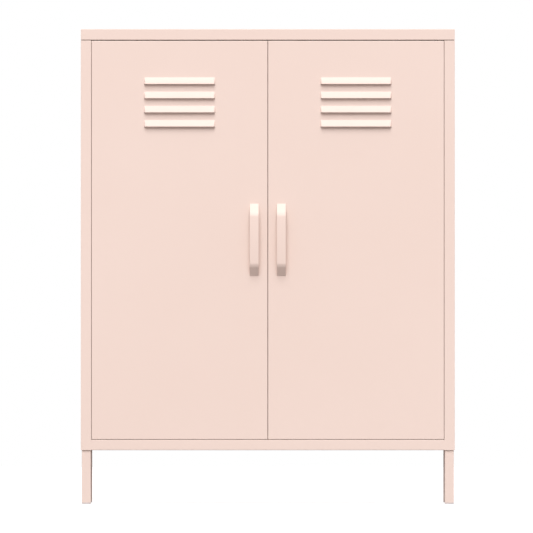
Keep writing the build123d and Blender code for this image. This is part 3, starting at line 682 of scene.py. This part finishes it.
def arch(bm, middle, rise):
    """Cuts a bow across and draws its middle forward along a parabola."""
    for step in range(-ARCH_CUTS, ARCH_CUTS + 1):
        cut(bm, bm.faces[:], (0, 0, middle + step * rise / (ARCH_CUTS + 1)), (0, 0, 1))
    for vert in bm.verts:
        along = (vert.co.z - middle) / rise
        vert.co.y -= HANDLE_ARCH * max(0, 1 - along ** 2)


# %% Handles
for name in SIDES:
    low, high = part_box(f"{name}_handle")
    middle, half = (low.z + high.z) / 2, (high.z - low.z) / 2
    shoulder, rise = low.y + HANDLE_ARCH, half - HANDLE_SLOPE
    bow = bmesh.new()
    outline = bow_outline(shoulder, half, rise)
    flank = bow.faces.new([bow.verts.new((low.x, y, middle + z)) for y, z in outline])
    pull_face(bow, flank, (high.x - low.x, 0, 0))
    all_outwards(bow)
    off_door = [edge for edge in bow.edges if not lies_at(edge, Y, FRONT)]
    bend(bow, [edge for edge in off_door if extent(edge, X) > SHORT_EDGE], HANDLE_TANGENT, 8)
    arch(bow, middle, rise)
    flanks = [edge for edge in bow.edges if edge.calc_face_angle(0) > SQUARE_ANGLE
              and extent(edge, X) < NEAR and not lies_at(edge, Y, FRONT)]
    bend(bow, flanks, HANDLE_EASE, 3)
    bar = settle(f"{name}_bow_handle", bow, "powder_coat", f"{name}_door", f"{name}_handle")
    print(bar.name, "faces:", len(bar.data.polygons))

# %% [markdown]
# ## Legs and glides
# The legs are square tube with rounded corners, bolted inside the posts, and each stands on
# a moulded glide whose plug is pressed up into the tube. A tube is a square whose four
# corners are bevelled as points, raised as a sheet and given its wall by Solidify. A glide is
# the same square, raised a little, inset on top and raised again.

# %% One leg
LEG_CORNER = 0.002
LEG_WALL = 0.0012


def rounded_square(low, high):
    """A square face with rounded corners at the foot of a box."""
    bm = bmesh.new()
    flat_face(bm, rectangle(low, high), low.z)
    bmesh.ops.bevel(bm, geom=bm.verts[:], offset=LEG_CORNER, segments=4, profile=0.5,
                    affect="VERTICES", material=-1)
    return bm


def leg_tube(low, high):
    """The outer skin of one leg, open at both ends."""
    bm = rounded_square(low, high)
    foot = bm.faces[:]
    pull_edges(bm, bm.edges[:], (0, 0, high.z - low.z))
    bmesh.ops.delete(bm, geom=foot, context="FACES_ONLY")
    all_outwards(bm)
    return bm


# %% One glide
GLIDE_BASE = 0.003
GLIDE_FIT = 0.0001
GLIDE_EASE = 0.0006


def moulded_glide(low, high):
    """One glide: a base as wide as the leg, and a plug that fits inside it."""
    bm = rounded_square(low, high)
    pull_face(bm, bm.faces[:][0], (0, 0, GLIDE_BASE))
    all_outwards(bm)
    top = max(bm.faces, key=lambda face: face.calc_center_median().z)
    bmesh.ops.inset_region(bm, faces=[top], thickness=LEG_WALL + GLIDE_FIT, use_even_offset=True)
    pull_face(bm, top, (0, 0, high.z - low.z - GLIDE_BASE), keep=False)
    return bm


# %% Legs and glides
for place in ("front_left", "front_right", "rear_left", "rear_right"):
    tube = leg_tube(*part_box(f"{place}_leg"))
    leg = settle(f"{place}_leg_tube", tube, "powder_coat", "cabinet", f"{place}_leg", LEG_WALL)
    moulding = moulded_glide(*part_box(f"{place}_glide"))
    glide = settle(f"{place}_moulded_glide", moulding, "glide_plastic", "cabinet", f"{place}_glide",
                   rim=GLIDE_EASE)
print("leg faces:", len(leg.data.polygons), "glide faces:", len(glide.data.polygons))

# %% [markdown]
# ## Shelves
# Two shelves lie on clips inside. Each is the same folded tray as the deck, with a narrow lip
# under every edge so that no hand meets a cut edge.

# %% Shelves
SHELF_LIP = 0.012
for level in ("lower", "upper"):
    low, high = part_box(f"{level}_shelf")
    board, _ = tray(rectangle(low, high), low.z, high.z, SHELF_LIP)
    bend(board, level_folds(board))
    shelf = settle(f"{level}_shelf_board", board, "powder_coat", f"{level}_shelf", f"{level}_shelf", GAUGE)
    print(shelf.name, "faces:", len(shelf.data.polygons))

# %% [markdown]
# ## Reading the small parts
# Sixty-eight screws, nuts and pins hold the cabinet together, and each node of the frame holds
# one kind. Typing their places in would be slow and easy to get wrong. Instead the loose parts
# of a node are found by walking from vertex to vertex, and each gives its own centre, its axis
# (the side of its box that differs most from the other two) and its radius at every level.

# %% Loose parts of a node
def body_of(node):
    """The body that a node of the frame rides on."""
    return next(body for body, members in record["behaviour"]["bodies"].items() if node in members)


def merged(node):
    """A copy of a node's mesh with its triangles joined at their corners."""
    bm = bmesh.new()
    bm.from_mesh(nodes[node].data)
    bmesh.ops.remove_doubles(bm, verts=bm.verts[:], dist=NEAR)
    return bm


def loose_parts(node):
    """The corner points of each separate solid of a node."""
    bm = merged(node)
    parts, seen = [], set()
    for start in bm.verts:
        if start in seen:
            continue
        seen.add(start)
        points, front = [], [start]
        while front:
            vert = front.pop()
            points.append(vert.co.copy())
            near = [edge.other_vert(vert) for edge in vert.link_edges]
            front += [other for other in near if other not in seen]
            seen.update(near)
        parts.append(points)
    bm.free()
    return parts


# %% Sizes of a turned part
def turned_sizes(points):
    """Centre and axis of a turned part, and its levels along the axis with their two radii."""
    low, high = (Vector([pick(values) for values in zip(*points)]) for pick in (min, max))
    size, centre = high - low, (low + high) / 2
    along = max(range(3), key=lambda a: abs(size[a] - size[a - 1]) + abs(size[a] - size[a - 2]))
    axis = Vector([float(a == along) for a in range(3)])
    levels = {}
    for point in points:
        level = (point - centre).dot(axis)
        radius = (point - centre - axis * level).length
        inner, outer = levels.get(round(level, 5), (radius, radius))
        levels[round(level, 5)] = (min(inner, radius), max(outer, radius))
    if levels[min(levels)][1] > levels[max(levels)][1] + NEAR:
        axis, levels = -axis, {-level: radii for level, radii in levels.items()}
    return centre, axis, sorted((level, *radii) for level, radii in levels.items())


# %% Standing copies of a part in their places
def stand(point, axis, turn=0.0):
    """A matrix that stands a part on a point with its +Z along an axis."""
    upright = axis.to_track_quat("Z", "Y").to_matrix().to_4x4()
    return Matrix.Translation(point) @ upright @ Matrix.Rotation(turn, 4, "Z")


def copies(single, places):
    """One bmesh with a copy of a part at each place."""
    pattern = bpy.data.meshes.new("pattern")
    single.to_mesh(pattern)
    single.free()
    group = bmesh.new()
    for place in places:
        start = len(group.verts)
        group.from_mesh(pattern)
        group.verts.ensure_lookup_table()
        bmesh.ops.transform(group, matrix=place, verts=group.verts[start:])
    bpy.data.meshes.remove(pattern)
    return group


def settle_small(node, ending, single, places, slot):
    """Puts a copy of a small part at each of its places, as one piece that stands for its node."""
    settle(f"{node}_{ending}", copies(single, places), slot, body_of(node), node, rim=0)
    print(node, "pieces:", len(places))


# %% [markdown]
# ## Screws and bolts
# The fasteners are pan-head screws with a cross recess. A head spun from a profile would be
# quick, but it has no recess. So the head starts as a grid of 25 cells, whose middle row and
# column are sunk as the cross. The border is then extruded ring after ring into the dome of
# the head, the shank and the ridges of the thread, and closed at the tip.

# %% Growing a part ring by ring
def grow(bm, rim, place):
    """Extrudes a closed rim and puts each new vertex where a rule says for its direction."""
    result = bmesh.ops.extrude_edge_only(bm, edges=rim)
    for vert in new_verts(result):
        vert.co = place(Vector((vert.co.x, vert.co.y, 0)).normalized())
    return new_edges(result)


def on_circle(radius, height):
    """A rule that draws a rim on to a circle."""
    return lambda outward: outward * radius + Vector((0, 0, height))


# %% One screw
def cross_recess(bm, head, crown):
    """The middle of a screw head, with its cross sunk in it."""
    bmesh.ops.create_grid(bm, x_segments=5, y_segments=5, size=1)
    slot, arm = 0.11 * head, 0.46 * head
    lines = [-arm, -0.6 * arm, -slot, slot, 0.6 * arm, arm]
    # The grid's six lines each way, from -1 to 1, are moved to these places.
    for vert in bm.verts:
        vert.co = (lines[round(2.5 * vert.co.x + 2.5)], lines[round(2.5 * vert.co.y + 2.5)], crown)
    centres = {face: face.calc_center_median() for face in bm.faces}
    cross = [face for face, centre in centres.items() if min(abs(centre.x), abs(centre.y)) < slot / 2]
    for vert in new_verts(bmesh.ops.extrude_face_region(bm, geom=cross)):
        vert.co = (0.6 * vert.co.x, 0.6 * vert.co.y, 0.3 * crown)


def pan_head_screw(head, crown, shank, length, pitch, plain):
    """A screw with its seat at the origin: head and shank radii, head height, length and thread."""
    bm = bmesh.new()
    cross_recess(bm, head, crown)
    rim = [edge for edge in bm.edges if edge.is_boundary]
    rings = [(0.74 * head, 0.99 * crown), (0.88 * head, 0.93 * crown), (0.97 * head, 0.8 * crown),
             (head, 0.62 * crown), (head, 0.03 * crown), (0.98 * head, 0.0), (shank, 0.0), (shank, -plain)]
    root = shank - 0.5 * pitch
    for ridge in range(int((length - plain) / pitch - 0.5)):
        level = -plain - ridge * pitch
        rings += [(root, level - 0.5 * pitch), (shank, level - pitch)]
    rings.append((root, -length))
    for radius, height in rings:
        rim = grow(bm, rim, on_circle(radius, height))
    bmesh.ops.contextual_create(bm, geom=rim)
    all_outwards(bm)
    return bm


# %% Every screw and bolt
COARSE = 0.001
MIDDLING = 0.0008
FINE = 0.0007
PLAIN_NECK = 0.0005
HINGE_THREAD = 0.0055
TURN_BETWEEN = 0.8
pitches = {"leg_bolts": MIDDLING, "cap_bolts": FINE, "back_bolts": FINE, "left_handle_screws": FINE,
           "right_handle_screws": FINE, "stop_screws": FINE, "catch_screws": COARSE,
           "left_upper_hinge_pin": FINE, "right_upper_hinge_pin": FINE}
for node, pitch in pitches.items():
    places = []
    for index, points in enumerate(loose_parts(node)):
        centre, axis, (tip, seat, top) = turned_sizes(points)
        places.append(stand(centre + axis * seat[0], axis, index * TURN_BETWEEN))
    length = seat[0] - tip[0]
    plain = length - HINGE_THREAD if "hinge" in node else PLAIN_NECK
    screw = pan_head_screw(seat[2], top[0] - seat[0], tip[2], length, pitch, plain)
    settle_small(node, "threaded", screw, places, "zinc_plated_steel")

# %% [markdown]
# ## Nuts
# A hexagon nut is a slice of bar whose corners are turned back by a cone, which leaves a
# curved line on each flat. The rim of a bore is grown out to a circle, then on to a hexagon
# that falls away towards its corners, down to the mirrored hexagon, and back to the bore.

# %% One nut
NUT_CONE = 0.55
NUT_FACE = 0.96
BORE_SINK = 0.0004
BORE_EASE = 0.0003
TURN_STEPS = 36


def on_hexagon(flat, height, fall):
    """A rule that draws a rim on to a hexagon whose corners fall away by a cone."""
    def place(outward):
        off_flat = atan2(outward.y, outward.x) % (pi / 3) - pi / 6
        radius = flat / cos(off_flat)
        return outward * radius + Vector((0, 0, height - fall * (radius - flat)))
    return place


def hexagon_nut(corner, height, bore):
    """A nut centred on the origin with its bore along Z."""
    bm = bmesh.new()
    flat, half = corner * cos(pi / 6), height / 2
    bmesh.ops.create_circle(bm, segments=TURN_STEPS, radius=bore)
    bmesh.ops.translate(bm, verts=bm.verts[:], vec=(0, 0, half - BORE_SINK))
    first = rim = bm.edges[:]
    rules = [on_circle(bore + BORE_EASE, half), on_circle(NUT_FACE * flat, half),
             on_hexagon(flat, half, NUT_CONE), on_hexagon(flat, -half, -NUT_CONE),
             on_circle(NUT_FACE * flat, -half), on_circle(bore + BORE_EASE, -half),
             on_circle(bore, BORE_SINK - half)]
    for rule in rules:
        rim = grow(bm, rim, rule)
    bmesh.ops.bridge_loops(bm, edges=first + rim)
    all_outwards(bm)
    return bm


# %% Every nut
for node in ("leg_weld_nuts", "cap_nuts", "back_nuts"):
    places = []
    for points in loose_parts(node):
        centre, axis, (below, above) = turned_sizes(points)
        upright = stand(centre, axis)
        corner = upright.inverted() @ max(points, key=lambda point: (point - centre).length)
        places.append(upright @ Matrix.Rotation(atan2(corner.y, corner.x), 4, "Z"))
    nut = hexagon_nut(above[2], above[0] - below[0], above[1])
    settle_small(node, "chamfered", nut, places, "zinc_plated_steel")

# %% [markdown]
# ## Riveted pins, bushes and buffers
# The lower hinge pins are riveted into their brackets, and turn in flanged nylon bushes. The
# rubber buffers are small round pads. All of these are lathe work: an outline drawn once and
# spun through a full turn.

# %% Lathe work
EASE = 0.00015
ROUNDING = 3 * EASE


def lathe(outline, closed=False):
    """Spins an outline of radii and heights round Z; a closed one leaves a bore."""
    bm = bmesh.new()
    line = [bm.verts.new((radius, 0, height)) for radius, height in outline]
    pairs = list(zip(line, line[1:])) + ([(line[-1], line[0])] if closed else [])
    edges = [bm.edges.new(pair) for pair in pairs]
    bmesh.ops.spin(bm, geom=line + edges, cent=(0, 0, 0), axis=(0, 0, 1), angle=2 * pi,
                   steps=TURN_STEPS, use_merge=True)
    bmesh.ops.remove_doubles(bm, verts=bm.verts[:], dist=NEAR)
    all_outwards(bm)
    return bm


# %% Riveted pins
for side in SIDES:
    node = f"{side}_lower_hinge_pin"
    centre, axis, (tip, seat, top) = turned_sizes(loose_parts(node)[0])
    head, crown, shank, length = seat[2], top[0] - seat[0], tip[2], seat[0] - tip[0]
    outline = [(0, crown), (0.45 * head, 0.94 * crown), (0.75 * head, 0.76 * crown),
               (0.94 * head, 0.45 * crown), (head, 0.12 * crown), (head, 0), (shank, 0),
               (shank, ROUNDING - length), (shank - ROUNDING, -length), (0, -length)]
    settle_small(node, "riveted", lathe(outline), [stand(centre + axis * seat[0], axis)], "zinc_plated_steel")

# %% Bushes
for node in ("upper_hinge_bushes", "lower_hinge_bushes"):
    places = []
    for points in loose_parts(node):
        centre, axis, levels = turned_sizes(points)
        places.append(stand(centre, axis))
    (foot, bore, barrel), (shoulder, _, _), (top, _, flange) = levels[0], levels[-2], levels[-1]
    outline = [(bore + EASE, top), (flange - EASE, top), (flange, top - EASE), (flange, shoulder),
               (barrel, shoulder), (barrel, foot + EASE), (barrel - EASE, foot), (bore + EASE, foot),
               (bore, foot + EASE), (bore, top - EASE)]
    settle_small(node, "moulded", lathe(outline, closed=True), places, "nylon")
    print("bore:", round(2000 * bore, 2), "mm")

# %% Buffers
places = []
for points in loose_parts("stop_buffers"):
    centre, axis, (below, above) = turned_sizes(points)
    places.append(stand(centre, axis))
radius, half = above[2], above[0]
half_outline = [(0, half), (radius - ROUNDING, half), (radius - EASE, half - EASE), (radius, half - ROUNDING)]
buffer = lathe(half_outline + [(reach, -height) for reach, height in reversed(half_outline)])
settle_small("stop_buffers", "moulded", buffer, places, "rubber")

# %% [markdown]
# ## Brackets, channels, clips and mouldings
# Stiffening channels, shelf uprights, clips, hinge brackets, catches and the door stop already
# have their shape in the frame, but as loose triangles with razor edges. Each gets a copy: its
# corners are merged, its flats joined into whole faces, and a fine bevel takes off the edge.

# %% Ease the remaining pieces
soft_rims = {"catch_plastic": 0.0004, "ferrite": 0.0003}
left_over = [name for name, node in nodes.items() if not node.hide_render]
for name in left_over:
    slot = nodes[name].data.materials[0].name
    flats = merged(name)
    bmesh.ops.dissolve_limit(flats, angle_limit=radians(1), verts=flats.verts[:], edges=flats.edges[:])
    settle(f"{name}_eased", flats, slot, body_of(name), name, rim=soft_rims.get(slot, RIM))
print("eased pieces:", len(left_over))
print("nodes still showing:", sum(not node.hide_render for node in nodes.values()))

# %% [markdown]
# ## Floor and world
# The cabinet stands on a pale floor that takes its shadow. A white floor would throw a lot of
# light back up, so this one is grey to the light, and glows only for the camera. In the same
# way the world is white at strength 1 where the camera, a reflection or glass sees it, and
# dimmer and a little warm where it lights the cabinet.

# %% A node from two values
def combined(tree, operation, first, second):
    """A Math node on the output of another node and a number or a second output."""
    node = tree.nodes.new("ShaderNodeMath")
    node.operation = operation
    tree.links.new(first, node.inputs[0])
    if isinstance(second, float):
        node.inputs[1].default_value = second
    else:
        tree.links.new(second, node.inputs[1])
    return node.outputs["Value"]


# %% Floor
FLOOR_HALF = 9
FLOOR_GREY = 0.24
FLOOR_GLOW = 0.84
floor_mesh = bmesh.new()
bmesh.ops.create_grid(floor_mesh, x_segments=1, y_segments=1, size=FLOOR_HALF)
sheet = bpy.data.meshes.new("floor")
floor_mesh.to_mesh(sheet)
floor_mesh.free()
floor = bpy.data.objects.new("floor", sheet)
bpy.context.scene.collection.objects.link(floor)
floor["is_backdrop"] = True
pale = bpy.data.materials.new("pale_floor")
pale.use_nodes = True
tree = pale.node_tree
matt = tree.nodes["Principled BSDF"]
matt.inputs["Base Color"].default_value = (FLOOR_GREY, FLOOR_GREY, FLOOR_GREY, 1)
matt.inputs["Roughness"].default_value = 0.9
glow = tree.nodes.new("ShaderNodeEmission")
glow.inputs["Color"].default_value = (1, 1, 1, 1)
path = tree.nodes.new("ShaderNodeLightPath")
seen = combined(tree, "MULTIPLY", path.outputs["Is Camera Ray"], FLOOR_GLOW)
tree.links.new(seen, glow.inputs["Strength"])
both = tree.nodes.new("ShaderNodeAddShader")
tree.links.new(matt.outputs["BSDF"], both.inputs[0])
tree.links.new(glow.outputs["Emission"], both.inputs[1])
tree.links.new(both.outputs["Shader"], tree.nodes["Material Output"].inputs["Surface"])
sheet.materials.append(pale)
print("floor:", 2 * FLOOR_HALF, "m square")

# %% World
WORLD_LIGHT = 0.7
WORLD_TINT = (1, 0.80, 0.76, 1)
world = bpy.data.worlds.new("studio")
bpy.context.scene.world = world
world.use_nodes = True
tree = world.node_tree
around = tree.nodes["Background"]
path = tree.nodes.new("ShaderNodeLightPath")
direct = combined(tree, "MAXIMUM", path.outputs["Is Camera Ray"], path.outputs["Is Glossy Ray"])
clear = combined(tree, "MAXIMUM", direct, path.outputs["Is Transmission Ray"])
strength = tree.nodes.new("ShaderNodeMapRange")
strength.inputs["To Min"].default_value = WORLD_LIGHT
strength.inputs["To Max"].default_value = 1.0
tree.links.new(clear, strength.inputs["Value"])
tree.links.new(strength.outputs["Result"], around.inputs["Strength"])
tint = tree.nodes.new("ShaderNodeMix")
tint.data_type = "RGBA"
tint.inputs["A"].default_value = WORLD_TINT
tint.inputs["B"].default_value = (1, 1, 1, 1)
tree.links.new(clear, tint.inputs["Factor"])
tree.links.new(tint.outputs["Result"], around.inputs["Color"])
print("world light:", WORLD_LIGHT, "of white")

# %% [markdown]
# ## Lamps and camera
# A tall softbox stands high in front, so the slopes of the louvres and the tops of the
# handles are bright and the bands under them dark. Two weak, low ones behind light the narrow
# faces that look sideways. All of them stand far away, so that the light is even from top to
# bottom. The camera stands far away too, level with the middle of the cabinet, and has a long
# lens, which keeps the verticals upright and hides the top and the sides.

# %% Softboxes
LAMP_DISTANCE = 60
LAMP_AIM = Vector((0, FRONT, 0.6))


def softbox(name, azimuth, elevation, width, height, share):
    """A rectangular lamp aimed at the doors; share is its light on a white card that faces it."""
    light = bpy.data.lights.new(name, "AREA")
    light.shape = "RECTANGLE"
    light.size = width
    light.size_y = height
    light.energy = share * pi ** 2 * LAMP_DISTANCE ** 2
    tilt, turn = radians(elevation), radians(azimuth)
    toward = Vector((sin(turn) * cos(tilt), -cos(turn) * cos(tilt), sin(tilt)))
    lamp = bpy.data.objects.new(name, light)
    bpy.context.scene.collection.objects.link(lamp)
    lamp.location = LAMP_AIM + toward * LAMP_DISTANCE
    lamp.rotation_mode = "QUATERNION"
    lamp.rotation_quaternion = (-toward).to_track_quat("-Z", "Y")
    print(name, "at", azimuth, "degrees round and", elevation, "up")


softbox("tall_softbox", azimuth=-2, elevation=50, width=30, height=45, share=0.955)
softbox("left_fill", azimuth=-120, elevation=3, width=30, height=8, share=0.38)
softbox("right_fill", azimuth=120, elevation=3, width=30, height=8, share=0.38)

# %% Camera
LENS_DISTANCE = 50.0
VIEW_WIDTH = 1.1401
LENS_X = -0.0028
LENS_Z = (cad_low.z + cad_high.z) / 2
camera_data = bpy.data.cameras.new("camera")
camera_data.sensor_width = 36
camera_data.lens = camera_data.sensor_width * LENS_DISTANCE / VIEW_WIDTH
camera_data.clip_end = 200
camera = bpy.data.objects.new("camera", camera_data)
bpy.context.scene.collection.objects.link(camera)
camera.location = (LENS_X, FRONT - LENS_DISTANCE, LENS_Z)
camera.rotation_euler = (radians(90), 0, 0)
bpy.context.scene.camera = camera
bpy.context.scene.view_settings.view_transform = "Standard"
print("lens:", round(camera_data.lens), "mm at", LENS_DISTANCE, "m")

# %% Check the size
seen_low, seen_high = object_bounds()
drift_mm = [round(1000 * (a - b), 2) for a, b in zip((*seen_low, *seen_high), (*cad_low, *cad_high))]
print("size drift in mm:", drift_mm)
